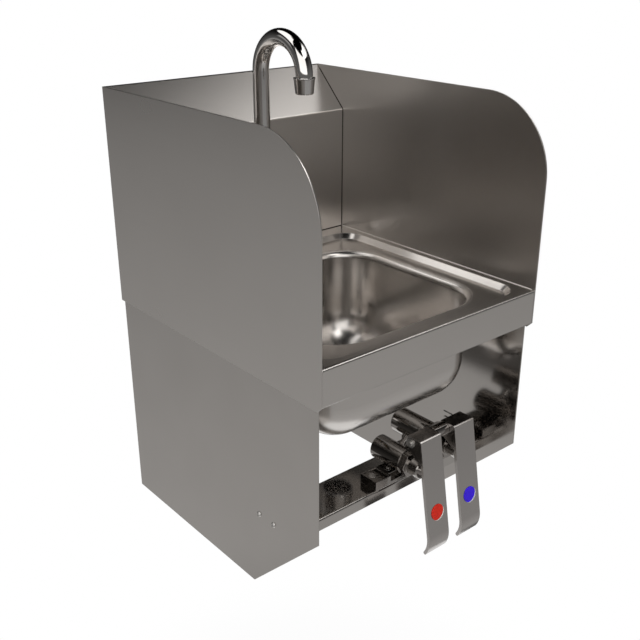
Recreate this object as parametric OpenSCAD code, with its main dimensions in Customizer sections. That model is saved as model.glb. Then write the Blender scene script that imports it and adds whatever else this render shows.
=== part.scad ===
// Wall-hung stainless steel hand wash sink with side splashes, gooseneck spout
// and a two-lever knee valve.
// Millimetres. +Z up, the wall is the plane Y = 0, the user stands on the -Y side.
// The origin is on the wall, on the centre line, at the height of the hanger screws.

/* [Sheet metal] */
// sheet thickness of the basin, splashes and panels
sheet_t = 1.3; // [0.9:0.1:2]
// overall width over the side splashes
overall_w = 304.8; // [250:0.2:450]
// overall depth from the wall to the apron
overall_d = 367.2; // [300:0.2:480]
// splash top above the hanger screw row
top_above_screws = 35; // [30:0.5:60]

/* [Side splashes] */
// how far a side splash reaches below the deck
splash_below_deck = 44.3; // [30:0.1:80]
// radius of the top front corner
splash_corner_r = 84; // [20:1:120]
// small cut at the bottom front corner
splash_chamfer = 6; // [2:0.5:15]

/* [Backsplash] */
// distance of the upright face from the wall, and rise of the sloping return
return_run = 50.8; // [35:0.1:80]
// inner bend radius of its folds
fold_inner_r = 0.8; // [0.6:0.1:4]

/* [Deck and apron] */
// drop from the splash top to the deck
deck_drop = 204; // [160:0.5:260]
// height of the apron
apron_h = 38.2; // [25:0.1:60]
// inner bend radius between deck and apron
apron_inner_r = 0.8; // [0.6:0.1:4]
// height of the side flanges under the deck
flange_h = 26; // [15:1:40]
// flat margin of the deck beside the step
step_side = 9.3; // [5:0.1:25]
// flat margin of the deck in front of the step
step_ahead = 11.2; // [6:0.1:25]
// flat margin of the deck behind the step
step_behind = 22.7; // [20:0.1:30]
// corner radius of the step
step_r = 27; // [15:0.5:40]
// depth of the step
step_h = 6; // [3:0.5:10]

/* [Bowl] */
// distance from the step's side edge to the bowl
bowl_side = 29.6; // [18:0.1:45]
// distance from the step's front edge to the bowl
bowl_ahead = 25.5; // [18:0.1:45]
// distance from the step's back edge to the bowl
bowl_behind = 38.5; // [34:0.1:60]
// corner and bottom radius of the bowl outside
bowl_r = 48.5; // [30:0.5:60]
// drop from the deck to the underside of the bowl
bowl_depth = 128.8; // [100:0.2:180]
// radius of the rolled rim of the bowl
roll_r = 8; // [5:0.5:8]

/* [Drain] */
// how far the drain sits behind the middle of the bowl
drain_behind = 3.25; // [0:0.05:20]
// outer radius of the tail tube
tail_r = 19.05; // [15:0.05:25]
// wall of the tail tube
tail_wall = 1.6; // [1:0.1:3]
// outer radius of the threaded part of the drain
thread_r = 20; // [16:0.05:26]
// length of the threaded part below the flange
thread_len = 16; // [14:0.5:30]
// drop from the underside of the bowl to the tail end
tail_drop = 43.2; // [30:0.2:80]
// radius of the drain flange
drain_flange_r = 27; // [24:0.5:32]
// thickness of the drain flange
drain_flange_t = 2.2; // [1.5:0.1:3]
// depth of the recess round the drain
recess_h = 2.5; // [1.5:0.1:4]
// thickness of the drain gasket
drain_gasket_t = 3; // [2:0.1:5]
// thickness of the drain washer
drain_washer_t = 1.5; // [1:0.1:3]
// height of the drain locknut
drain_nut_h = 8; // [6:0.5:12]
// across-corner radius of the drain locknut
drain_nut_r = 27.5; // [25:0.5:32]
// thickness of the strainer plate
strainer_t = 1.2; // [0.8:0.1:2]
// radius of the hub that takes the strainer's screw
hub_r = 4; // [3:0.1:5]
// height of the hub
hub_h = 6; // [4:0.5:8]
// width of the bars that carry the hub
bar_w = 2; // [1.5:0.1:3]
// height of the bars that carry the hub
bar_h = 4; // [2:0.5:5]
// radius of the strainer's screw
strainer_screw_r = 1.5; // [1:0.1:2]
// length of the strainer's screw below its head
strainer_screw_len = 8; // [4:0.5:10]
// radius of the strainer's screw head
strainer_head_r = 2.9; // [2.2:0.1:4]
// height of the strainer's screw head
strainer_head_h = 1; // [0.6:0.1:1.5]
// radius of a strainer hole
strainer_hole_r = 2.1; // [1.5:0.1:2.6]
// strainer holes in the outer ring
strainer_holes = 12; // [8:1:14]

/* [Spout] */
// distance of the spout in front of the backsplash
spout_ahead = 32.2; // [28:0.1:40]
// outer radius of the spout tube
spout_r = 9.25; // [7:0.05:12]
// wall of the spout tube
spout_wall = 1.1; // [0.8:0.1:2]
// centreline radius of the spout bend
arc_r = 38.3; // [30:0.1:60]
// height of the bend centre above the splash top
arc_centre_up = 12.6; // [-20:0.2:60]
// tube length inside the outlet housing
outlet_len = 9; // [6:0.5:12]
// height of the outlet housing
aerator_h = 17; // [12:0.5:22]
// upper radius of the outlet housing
aerator_top_r = 11.7; // [10.5:0.05:14]
// lower radius of the outlet housing
aerator_low_r = 9.95; // [8:0.05:12]
// height of the rim round the top of the housing
aerator_rim_h = 1.6; // [1:0.1:3]
// wall of the outlet housing
aerator_wall = 2; // [1.2:0.1:3]
// thickness of the washer above the insert
aerator_washer_t = 2.4; // [1.5:0.1:3]
// radius of the spout base flange
base_flange_r = 15; // [14:0.1:15.2]
// thickness of the spout base flange
base_flange_t = 3; // [2:0.1:5]
// outer radius of the threaded neck on the base
base_neck_r = 12.3; // [11.5:0.1:13]
// height of the neck above the flange
base_neck_h = 13; // [11:0.5:20]
// radius of the shank under the deck
shank_r = 9.5; // [8.6:0.1:10.5]
// radius of the waterway through the shank
shank_bore_r = 7.5; // [5:0.1:7.8]
// length of the shank under the deck
shank_len = 42; // [30:1:60]
// thickness of the gasket under the flange
spout_gasket_t = 1; // [0.5:0.1:2]
// thickness of the washer under the deck
spout_washer_t = 1.5; // [1:0.1:3]
// height of the locknut under the deck
spout_nut_h = 7; // [5:0.5:10]
// radius of the raised round pad under the spout
pad_r = 15.5; // [15.2:0.1:16]

/* [Lower panels and rail] */
// how far the panels stop short of the apron's face
panel_back = 7.4; // [4:0.1:30]
// gap between the panels and the wall
panel_wall_gap = 2.2; // [0:0.1:5]
// drop from the rail to the panel bottom
panel_below_rail = 85.8; // [60:0.1:120]
// depth of the sloping cut at the panel's front
panel_cut_d = 109.5; // [60:0.5:125]
// height of the start of the sloping cut above the rail
panel_cut_up = 23.1; // [10:0.1:40]
// drop from the underside of the bowl to the rail
rail_below_bowl = 88.2; // [84:0.1:130]
// how far the rail is set back from the panel fronts
rail_back = 56.3; // [45:0.1:65]
// rail depth
rail_d = 53.5; // [40:0.5:70]
// height of the rail front flange
rail_lip_h = 14; // [8:0.5:25]
// height of the rail end tabs above the rail
tab_h = 15; // [12:0.5:25]
// tab screws: height above the rail
tab_screw_h = 8.2; // [6:0.1:12]
// tab screws: distance of the front one from the rail front
tab_screw_in = 15.8; // [10:0.1:25]
// tab screws: spacing
tab_screw_gap = 25; // [15:0.5:30]
// tab screws: shank radius
tab_screw_r = 2; // [1.5:0.1:3]
// tab screws: head radius
tab_head_r = 3.2; // [3:0.1:5]
// tab screws: head height
tab_head_h = 1.7; // [1:0.1:3]

/* [Knee valve] */
// gap between the valve base and the right lower panel
valve_side_gap = 14.2; // [10:0.1:40]
// length of the valve base
base_len = 152.4; // [140:0.2:170]
// depth of the valve base
base_d = 25.5; // [22:0.5:32]
// height of the end pads
base_h = 11.2; // [8:0.1:14]
// thickness of the thin strip between the pads
strip_t = 4; // [3:0.1:6]
// length of a framed end pad
pad_len = 23; // [18:0.5:28]
// length of the second, set back pad
pad2_len = 20; // [16:0.5:24]
// how far the second pad is set back from the front
pad2_back = 6; // [3:0.5:8]
// width of the frame round a pad
frame_w = 1.6; // [1:0.1:3]
// depth of the pad recess
frame_h = 1; // [0.5:0.1:2]
// half distance between the two cartridges
cartridge_half = 31.75; // [28:0.05:36]
// radius of a cartridge barrel
barrel_r = 14.5; // [12:0.1:16]
// height of the cartridge axis above the rail
barrel_up = 22.5; // [18:0.1:28]
// how far a barrel starts behind the rail's front
barrel_behind = 42; // [36:0.5:50]
// length of a barrel
barrel_len = 44.5; // [40:0.5:46]
// radius of the middle outlet barrel
outlet_r = 15.2; // [13:0.1:16]
// height of the outlet axis above the rail
outlet_up = 46.9; // [42:0.1:50]
// length of the outlet barrel
outlet_barrel_len = 51.5; // [46:0.5:52]
// how far the outlet barrel starts in front of the side barrels
outlet_set_in = 1; // [0:0.5:4]
// radius of the inlet and outlet ports
port_r = 9; // [7:0.1:10]
// depth of the ports
port_len = 8; // [6:0.5:10]
// radius of the chamber behind a port
chamber_r = 8.2; // [6.5:0.1:9.5]
// distance from the port mouth to the valve seat
seat_in = 21.5; // [20:0.5:23]
// across-corner radius of the cartridge nut
bonnet_nut_r = 15.4; // [13.5:0.1:16]
// length of the cartridge nut
bonnet_nut_len = 9.5; // [6:0.5:12]
// radius of the cartridge neck
bonnet_neck_r = 10.5; // [8:0.1:11.5]
// length of the cartridge in front of the barrel
bonnet_len = 25; // [20:0.5:27]
// radius of the stem
stem_r = 5.5; // [4:0.1:6.5]
// radius of the stem behind the cartridge
stem_thin_r = 3; // [2:0.1:4]
// thickness of the valve seat wall
seat_t = 2; // [1.5:0.1:4]

/* [Levers] */
// hinge pin radius
pin_r = 3; // [2.5:0.1:4]
// hinge pin height above the rail
pin_up = 58; // [52:0.1:64]
// distance of the hinge pin in front of the barrels
pin_ahead = 16; // [14:0.5:22]
// how far the hinge pin reaches past the levers
pin_over = 3.15; // [2:0.05:8]
// lever width
lever_w = 31.7; // [25:0.1:33]
// distance of a lever centre from the valve centre
lever_half = 27; // [26:0.1:32]
// thickness of a lever plate
lever_t = 4; // [3:0.1:5]
// thickness of a lever cheek
cheek_t = 3; // [2:0.1:4]
// lever top above the pin axis
lever_top = 7.1; // [6:0.1:9]
// lever front above the pin: distance in front of the pin axis
lever_nose = 14.7; // [12:0.1:18]
// back edge of the lever top behind the pin axis
lever_tail = 5.6; // [4:0.1:7]
// forward lean of the lever
lever_lean = 10; // [0:1:20]
// straight length of the lever front
lever_len = 118; // [80:0.5:150]
// outer radius of the curl at the lower end
curl_r = 32; // [20:0.5:50]
// angle of the curl
curl_deg = 42; // [15:1:60]
// thickness of the lever's top
top_t = 1.8; // [1.2:0.1:2]
// drop from the pin axis to the cheek's lower front tip
cheek_drop = 23.5; // [15:0.5:28]
// drop from the pin axis to the cheek's lower back corner
cheek_back_drop = 10.3; // [8:0.1:14]
// colour disc radius
disc_r = 9.5; // [6:0.1:12]
// colour disc thickness
disc_t = 1; // [0.5:0.1:2]
// colour disc centre below the lever top, along the face
disc_down = 89.8; // [50:0.2:110]
// spring wire radius
wire_r = 0.8; // [0.5:0.1:1]
// half length of a spring's coils
coil_half = 9; // [6:0.5:11]

/* [Wall hanger] */
// gap between the hanger strip's end and the side splash
hanger_in = 24.1; // [10:0.1:60]
// thickness of the hanger strip
hanger_t = 1.5; // [1.2:0.1:3]
// height of the hanger strip on each side of the screw row
hanger_half_h = 11.5; // [10:0.5:14]
// height of the hook above the jog
hook_h = 10; // [6:0.5:12]
// distance of a hanger screw hole from the strip's end
hanger_screw_in = 25.4; // [12:0.2:60]
// radius of the hanger screw holes
hanger_hole_r = 3.2; // [2.5:0.1:4]

/* [Clearances] */
// running fit between turning or sliding pieces, on the radius
run_fit = 0.05; // [0.02:0.01:0.1]
// gap between pieces that pass each other
gap = 0.3; // [0.2:0.05:0.5]
// free radius of a screw hole over its screw
screw_free = 0.2; // [0.1:0.05:0.5]

/* [Hidden] */
$fn = 48;
eps = 0.01;
over = 1;
mitre = sqrt(2) - 1;

splash_top_z = top_above_screws;
in_half = overall_w / 2 - sheet_t;
flange_in = in_half - sheet_t;
panel_in = flange_in - sheet_t;
deck_z = splash_top_z - deck_drop;
deck_low_z = deck_z - sheet_t;
floor_z = deck_z - step_h;
fold_z = splash_top_z - return_run;
splash_low_z = deck_z - splash_below_deck;
apron_bend_r = sheet_t + apron_inner_r;

step_half_w = in_half - step_side;
step_front = overall_d - step_ahead;
step_back = return_run + step_behind;
bowl_half_w = step_half_w - bowl_side;
bowl_front = step_front - bowl_ahead;
bowl_back = step_back + bowl_behind;
bowl_under_z = deck_z - bowl_depth;
bowl_in_r = bowl_r - sheet_t;
bowl_arc_z = bowl_under_z + bowl_r;
roll_z = floor_z - roll_r;
mouth_r = bowl_in_r + roll_r;

drain_y = (bowl_back + bowl_front) / 2 - drain_behind;
recess_z = bowl_under_z + sheet_t - recess_h;
recess_under_z = recess_z - sheet_t;
recess_r = drain_flange_r + gap;
drain_hole_r = thread_r + gap;
drain_bevel = 1;
drain_top_z = recess_z + drain_flange_t;
strainer_z = drain_top_z - strainer_t;
strainer_r = tail_r - tail_wall - gap;
strainer_head_top_r = 2.2;
ring_holes_share = 0.76;
inner_holes_share = 0.42;
tail_end_z = bowl_under_z - tail_drop;
bite = 0.4;

spout_y = return_run + spout_ahead;
spout_seat_z = deck_z + spout_gasket_t;
flange_top_z = spout_seat_z + base_flange_t;
neck_top_z = flange_top_z + base_neck_h;
gasket_in = 0.5;
washer_in = 1;
collar_r = spout_r + 1.6;
collar_h = 1.8;
cap_wall = 2;
cap_r = base_neck_r + cap_wall;
cap_lip_h = 4;
cap_low_h = 8;
ring_h = 2.6;
ring_down = 5.5;
ring_w = 1.8;
ring_z = neck_top_z - ring_down;
arc_z = splash_top_z + arc_centre_up;
outlet_y = spout_y + 2 * arc_r;
aerator_bevel = 1;
aerator_step = 0.4;
aerator_in_r = aerator_low_r - aerator_wall;
insert_up = 0.6;
insert_lip = 0.8;
jets = 8;
jet_ring_share = 0.66;
jet_share = 0.17;
jet_mid_share = 0.25;

rail_z = bowl_under_z - rail_below_bowl;
panel_front = overall_d - panel_back;
panel_low_z = rail_z - panel_below_rail;
rail_front = panel_front - rail_back;
rail_bend_r = 2 * sheet_t;
tab_screws = [rail_front - tab_screw_in, rail_front - tab_screw_in - tab_screw_gap];
slot_w = 0.8;
tab_head_share = 0.72;
tab_nut_share = 0.9;
nut_r = 4.6;
nut_h = 3.2;
screw_past = 1;

valve_x = panel_in - valve_side_gap - base_len / 2;
base_back = rail_front - base_d;
barrel_back = rail_front - barrel_behind;
barrel_front = barrel_back + barrel_len;
bore_z = rail_z + barrel_up;
outlet_z = rail_z + outlet_up;
outlet_back = barrel_back + outlet_set_in;
outlet_front = outlet_back + outlet_barrel_len;
seat_back = barrel_back + seat_in;
seat_front = seat_back + seat_t;
cross_r = 2.8;
cross_wall = 2.4;
gallery_past = 9;
web_back = 3;
neck_back = 12;
boss_back = 4;
boss_wall = 4.9;
base_screw_r = 2.2;
base_head_r = 4.6;
base_head_h = 2.4;
screw_pitch = 24.5;
screw_in = 8;
base_screws = [for (s = [-1, 1]) for (k = [0, 1]) valve_x + s * (base_len / 2 - screw_in - k * screw_pitch)];
screw_row_share = 0.41;
base_screw_y = -(base_back + base_d * screw_row_share);
head_top_z = rail_z + base_h - frame_h - 2 * run_fit;
cross_w = 1;
cross_h = 1.2;
cross_share = 0.55;
neck_share = 0.8;
web_share = 0.6;
boss_low_share = 0.7;
boss_high_share = 0.9;
boss_out_share = 0.8;
boss_down_share = 0.6;
seat_hole_share = 0.66;
gallery_share = 0.6;

spigot_len = 4;
bonnet_bevel = 1.5;
bonnet_bevel_share = 0.8;
stem_bore_r = stem_r + run_fit;
stem_bevel = 1.2;
head_free = 1.3;
head_r = chamber_r - head_free;
head_t = 2.6;
washer_t = 1.9;

pin_y = barrel_front + pin_ahead;
pin_z = rail_z + pin_up;
pin_half = lever_half + lever_w / 2 + pin_over;
clip_t = 1;
clip_w = 2;
boss_half = lever_half - lever_w / 2 - gap;
boss_r = pin_r + boss_wall;
lever_front = pin_y + lever_nose;
lever_top_z = pin_z + lever_top;
top_bevel = 1.2;
top_set_in = 1.6;
cheek_back = 3.5;
cheek_share = 0.97;
disc_bevel = 0.4;
leg_past = 22.3;
foot_x = 5;

hanger_len = 2 * (in_half - hanger_in);
hanger_spacing = hanger_len - 2 * hanger_screw_in;
lip_low_z = hanger_half_h + hanger_t + gap;

// Local +Z points away from the wall and local +Y points up.
module fwd(x, y, z) {
    translate([x, -y, z])
        rotate([90, 0, 0])
            children();
}

// A flat outline in the side view (its x is the distance along Y, its y is Z),
// given thickness along +X from x0.
module side_plate(x0, th) {
    translate([x0, 0, 0])
        rotate([90, 0, 90])
            linear_extrude(height = th)
                children();
}

module box(x0, x1, y0, y1, z0, z1) {
    translate([x0, y0, z0])
        cube([x1 - x0, y1 - y0, z1 - z0]);
}

module ring(r_out, r_in, h) {
    difference() {
        cylinder(r = r_out, h = h);
        translate([0, 0, -eps])
            cylinder(r = r_in, h = h + 2 * eps);
    }
}

module hex_ring(r_out, r_in, h) {
    difference() {
        cylinder(r = r_out, h = h, $fn = 6);
        translate([0, 0, -eps])
            cylinder(r = r_in, h = h + 2 * eps);
    }
}

// A profile carried round a rounded rectangle: x is measured outwards from the
// centres of the corners, y is Z.
module sweep(hx, front, back, r) {
    cx = hx - r;
    yb = -(back + r);
    yf = -(front - r);
    corners = [[cx, yb], [-cx, yb], [-cx, yf], [cx, yf]];
    starts = [[cx, yb], [-cx, yb], [-cx, yf], [cx, yf]];
    lengths = [yb - yf, 2 * cx, yb - yf, 2 * cx];
    for (i = [0:3]) {
        translate([corners[i][0], corners[i][1], 0])
            rotate([0, 0, 90 * i])
                rotate_extrude(angle = 90)
                    children();
        translate([starts[i][0], starts[i][1], 0])
            rotate([0, 0, 90 * i])
                rotate([90, 0, 0])
                    linear_extrude(height = lengths[i])
                        children();
    }
}

// The core between the corner centres of a rounded rectangle.
module core(hx, front, back, r, z0, z1) {
    box(-(hx - r), hx - r, -(front - r), -(back + r), z0, z1);
}

module slope(r, z0, h) {
    polygon([[0, z0 - h], [r - h, z0 - h], [r, z0], [0, z0]]);
}

// The deck as a mass under its top face: 0 for the top, 1 for the underside.
module deck_mass(under) {
    off = under * sheet_t * mitre;
    z1 = deck_z - under * sheet_t;
    z0 = floor_z - sheet_t;
    zf = floor_z - under * sheet_t;
    union() {
        difference() {
            box(-in_half, in_half, -(overall_d - apron_bend_r), -return_run, z0 - under * sheet_t, z1);
            sweep(step_half_w + off, step_front + off, step_back - off, step_r + off)
                slope(step_r + off, z1, z1 - zf);
            core(step_half_w, step_front, step_back, step_r, zf, z1 + eps);
        }
        translate([0, -spout_y, zf])
            cylinder(r1 = pad_r - off + step_h, r2 = pad_r - off, h = z1 - zf);
    }
}

module bowl_profile() {
    intersection() {
        translate([bowl_in_r, roll_z])
            square([roll_r, roll_r]);
        difference() {
            translate([bowl_in_r + roll_r, roll_z])
                circle(r = roll_r);
            translate([bowl_in_r + roll_r, roll_z])
                circle(r = roll_r - sheet_t);
        }
    }
    translate([bowl_in_r, bowl_arc_z])
        square([sheet_t, roll_z - bowl_arc_z]);
    intersection() {
        translate([0, bowl_under_z])
            square([bowl_r, bowl_r]);
        difference() {
            translate([0, bowl_arc_z])
                circle(r = bowl_r);
            translate([0, bowl_arc_z])
                circle(r = bowl_in_r);
        }
    }
}

module recess_profile() {
    polygon([
        [drain_hole_r, recess_under_z],
        [recess_r + mitre * sheet_t, recess_under_z],
        [recess_r + recess_h + mitre * sheet_t, bowl_under_z],
        [recess_r + recess_h + mitre * sheet_t, bowl_under_z + sheet_t],
        [recess_r + recess_h, bowl_under_z + sheet_t],
        [recess_r, recess_z],
        [drain_hole_r, recess_z]
    ]);
}

module apron_profile() {
    translate([-overall_d, deck_z - apron_h])
        square([sheet_t, apron_h - apron_bend_r]);
    intersection() {
        translate([-overall_d, deck_z - apron_bend_r])
            square([apron_bend_r, apron_bend_r]);
        difference() {
            translate([-overall_d + apron_bend_r, deck_z - apron_bend_r])
                circle(r = apron_bend_r);
            translate([-overall_d + apron_bend_r, deck_z - apron_bend_r])
                circle(r = apron_bend_r - sheet_t);
        }
    }
}

module deck() {
    color([0.62, 0.61, 0.6]) {
        difference() {
            deck_mass(0);
            difference() {
                box(-overall_w, overall_w, -overall_d - sheet_t, 0, floor_z - overall_d, deck_z);
                difference() {
                    box(-overall_w, overall_w, -overall_d - sheet_t, 0, floor_z - overall_d - eps, deck_z + eps);
                    deck_mass(1);
                }
            }
            sweep(bowl_half_w - sheet_t + roll_r, bowl_front - sheet_t + roll_r, bowl_back + sheet_t - roll_r, mouth_r)
                translate([0, floor_z - 2 * sheet_t])
                    square([mouth_r, 4 * sheet_t]);
            core(bowl_half_w, bowl_front, bowl_back, bowl_r - eps, floor_z - 2 * sheet_t, floor_z + 2 * sheet_t);
            translate([0, -spout_y, deck_low_z - step_h])
                cylinder(r = shank_r + gap, h = 2 * step_h);
        }
        side_plate(-in_half, 2 * in_half)
            apron_profile();
        for (s = [0, 1])
            mirror([s, 0, 0])
                box(flange_in, in_half, -(overall_d - apron_bend_r), -return_run, deck_z - flange_h, deck_low_z);
    }
}

// The bowl with its rolled rim, welded into the hole in the sunk part of the deck.
module bowl() {
    color([0.6, 0.59, 0.58]) {
        sweep(bowl_half_w, bowl_front, bowl_back, bowl_r)
            bowl_profile();
        difference() {
            core(bowl_half_w, bowl_front, bowl_back, bowl_r, bowl_under_z, bowl_under_z + sheet_t);
            translate([0, -drain_y, bowl_under_z - sheet_t])
                cylinder(r = recess_r + recess_h, h = 3 * sheet_t);
        }
        translate([0, -drain_y, 0])
            rotate_extrude()
                recess_profile();
    }
}

// What a bend of radius r takes off a corner at p, whose edges leave at a1 and a2.
module corner_cut(p, a1, a2, r) {
    half = (a2 - a1) / 2;
    mid = (a1 + a2) / 2;
    c = p + r / sin(half) * [cos(mid), sin(mid)];
    n1 = p + r / tan(half) * [cos(a1), sin(a1)];
    n2 = p + r / tan(half) * [cos(a2), sin(a2)];
    difference() {
        polygon([c, 2 * n1 - c, 2 * p - c, 2 * n2 - c]);
        translate(c)
            circle(r = r);
    }
}

// The side view of all that lies behind the backsplash's front, or behind its back
// when in is its thickness. The hem at the top is folded sharp, and the bend in front
// has radius r.
module behind_splash(in, r, low_z) {
    fold = [-return_run + in, fold_z - mitre * in];
    tip = [-in, splash_top_z - (1 + sqrt(2)) * in];
    difference() {
        polygon([[fold[0], low_z], fold, tip, [tip[0], low_z]]);
        corner_cut(fold, -90, 45, r);
    }
}

module backsplash() {
    color([0.66, 0.65, 0.63])
        side_plate(-in_half, 2 * in_half)
            difference() {
                behind_splash(0, sheet_t + fold_inner_r, deck_low_z);
                behind_splash(sheet_t, fold_inner_r, deck_low_z - over);
                translate([-2 * sheet_t, deck_low_z - over])
                    square([3 * sheet_t, lip_low_z - deck_low_z + over]);
            }
}

module splash_outline() {
    cy = -overall_d + splash_corner_r;
    cz = splash_top_z - splash_corner_r;
    difference() {
        polygon([
            [0, splash_low_z],
            [-overall_d + splash_chamfer, splash_low_z],
            [-overall_d, splash_low_z + splash_chamfer],
            [-overall_d, splash_top_z],
            [0, splash_top_z]
        ]);
        difference() {
            translate([-overall_d - sheet_t, cz])
                square([splash_corner_r + sheet_t, splash_corner_r + sheet_t]);
            translate([cy, cz])
                circle(r = splash_corner_r);
        }
    }
}

module left_side_splash() {
    color([0.55, 0.54, 0.52])
        side_plate(-overall_w / 2, sheet_t)
            splash_outline();
}

module right_side_splash() {
    color([0.42, 0.41, 0.39])
        side_plate(in_half, sheet_t)
            splash_outline();
}

module panel_outline() {
    difference() {
        polygon([
            [-panel_wall_gap, panel_low_z],
            [-panel_front + panel_cut_d, panel_low_z],
            [-panel_front, rail_z + panel_cut_up],
            [-panel_front, deck_low_z],
            [-panel_wall_gap, deck_low_z]
        ]);
        for (y = tab_screws)
            translate([-y, rail_z + tab_screw_h])
                circle(r = tab_screw_r + screw_free);
    }
}

module left_lower_panel() {
    color([0.55, 0.54, 0.52])
        side_plate(-flange_in, sheet_t)
            panel_outline();
}

module right_lower_panel() {
    color([0.5, 0.49, 0.47])
        side_plate(panel_in, sheet_t)
            panel_outline();
}

module rail_profile() {
    translate([-rail_front + rail_bend_r, rail_z - sheet_t])
        square([rail_d - rail_bend_r, sheet_t]);
    translate([-rail_front, rail_z - rail_lip_h])
        square([sheet_t, rail_lip_h - rail_bend_r]);
    intersection() {
        translate([-rail_front, rail_z - rail_bend_r])
            square([rail_bend_r, rail_bend_r]);
        difference() {
            translate([-rail_front + rail_bend_r, rail_z - rail_bend_r])
                circle(r = rail_bend_r);
            translate([-rail_front + rail_bend_r, rail_z - rail_bend_r])
                circle(r = rail_bend_r - sheet_t);
        }
    }
}

module valve_rail() {
    color([0.45, 0.44, 0.42])
        difference() {
            union() {
                side_plate(-panel_in, 2 * panel_in)
                    rail_profile();
                for (s = [0, 1])
                    mirror([s, 0, 0])
                        side_plate(panel_in - sheet_t, sheet_t)
                            difference() {
                                translate([-rail_front + 2 * sheet_t, rail_z])
                                    square([rail_d - 4 * sheet_t, tab_h]);
                                for (y = tab_screws)
                                    translate([-y, rail_z + tab_screw_h])
                                        circle(r = tab_screw_r + screw_free);
                            }
            }
            for (x = base_screws)
                translate([x, base_screw_y, rail_z - 2 * sheet_t])
                    cylinder(r = base_screw_r + screw_free, h = 3 * sheet_t);
        }
}

module rail_screws() {
    grip = 2 * sheet_t + nut_h + screw_past;
    color([0.7, 0.69, 0.67])
        for (s = [0, 1])
            mirror([s, 0, 0])
                for (y = tab_screws)
                    translate([flange_in, -y, rail_z + tab_screw_h])
                        rotate([0, 90, 0]) {
                            translate([0, 0, -grip])
                                cylinder(r = tab_screw_r, h = grip);
                            difference() {
                                cylinder(r1 = tab_head_r, r2 = tab_head_r * tab_head_share, h = tab_head_h);
                                translate([-tab_head_r, -slot_w / 2, tab_head_h / 2])
                                    cube([2 * tab_head_r, slot_w, tab_head_h]);
                            }
                        }
}

module rail_nuts() {
    color([0.7, 0.69, 0.67])
        for (s = [0, 1])
            mirror([s, 0, 0])
                for (y = tab_screws)
                    translate([panel_in - sheet_t - nut_h, -y, rail_z + tab_screw_h])
                        rotate([0, 90, 0])
                            hex_ring(nut_r * tab_nut_share, tab_screw_r + run_fit, nut_h);
}

module wall_hanger() {
    y1 = -hanger_t;
    y2 = -(sheet_t + gap);
    y3 = y2 - hanger_t;
    z1 = hanger_half_h;
    z2 = hanger_half_h + hanger_t;
    color([0.6, 0.6, 0.6])
        difference() {
            side_plate(-hanger_len / 2, hanger_len)
                polygon([
                    [0, -z1], [0, z2], [y2, z2], [y2, z2 + hook_h],
                    [y3, z2 + hook_h], [y3, z1], [y1, z1], [y1, -z1]
                ]);
            for (s = [-1, 1])
                translate([s * hanger_spacing / 2, eps, 0])
                    rotate([90, 0, 0])
                        cylinder(r = hanger_hole_r, h = 2 * hanger_t + eps);
        }
}

module drain_body() {
    in_r = tail_r - tail_wall;
    color([0.75, 0.75, 0.74])
        translate([0, -drain_y, 0]) {
            difference() {
                union() {
                    translate([0, 0, recess_z])
                        cylinder(r1 = drain_flange_r, r2 = drain_flange_r - drain_bevel, h = drain_flange_t);
                    translate([0, 0, tail_end_z])
                        cylinder(r = tail_r, h = recess_z - tail_end_z + eps);
                    translate([0, 0, recess_z - thread_len])
                        cylinder(r = thread_r, h = thread_len + eps);
                }
                translate([0, 0, tail_end_z - over])
                    cylinder(r = in_r, h = drain_top_z - tail_end_z + 2 * over);
            }
            translate([0, 0, strainer_z - hub_h])
                ring(hub_r, strainer_screw_r + run_fit, hub_h);
            for (a = [0:90:270])
                rotate([0, 0, a])
                    translate([hub_r - bite, -bar_w / 2, strainer_z - hub_h])
                        cube([in_r - hub_r + 2 * bite, bar_w, bar_h]);
        }
}

module hole_ring(count, at_r) {
    for (i = [0:count - 1])
        rotate([0, 0, 360 * i / count])
            translate([at_r, 0, -over])
                cylinder(r = strainer_hole_r, h = strainer_t + 2 * over);
}

module strainer_grid() {
    color([0.75, 0.75, 0.74])
        translate([0, -drain_y, strainer_z])
            difference() {
                cylinder(r = strainer_r, h = strainer_t);
                translate([0, 0, -over])
                    cylinder(r = strainer_screw_r + screw_free, h = strainer_t + 2 * over);
                hole_ring(strainer_holes, strainer_r * ring_holes_share);
                hole_ring(strainer_holes / 2, strainer_r * inner_holes_share);
            }
}

module strainer_screw() {
    color([0.7, 0.7, 0.7])
        translate([0, -drain_y, drain_top_z]) {
            translate([0, 0, -strainer_screw_len])
                cylinder(r = strainer_screw_r, h = strainer_screw_len);
            cylinder(r1 = strainer_head_r, r2 = strainer_head_top_r, h = strainer_head_h);
        }
}

module drain_gasket() {
    color([0.1, 0.1, 0.1])
        translate([0, -drain_y, recess_under_z - drain_gasket_t])
            ring(drain_flange_r, thread_r + run_fit, drain_gasket_t);
}

module drain_washer() {
    color([0.55, 0.5, 0.4])
        translate([0, -drain_y, recess_under_z - drain_gasket_t - drain_washer_t])
            ring(drain_flange_r, thread_r + run_fit, drain_washer_t);
}

module drain_locknut() {
    color([0.72, 0.6, 0.3])
        translate([0, -drain_y, recess_under_z - drain_gasket_t - drain_washer_t - drain_nut_h])
            hex_ring(drain_nut_r, thread_r + run_fit, drain_nut_h);
}

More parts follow.
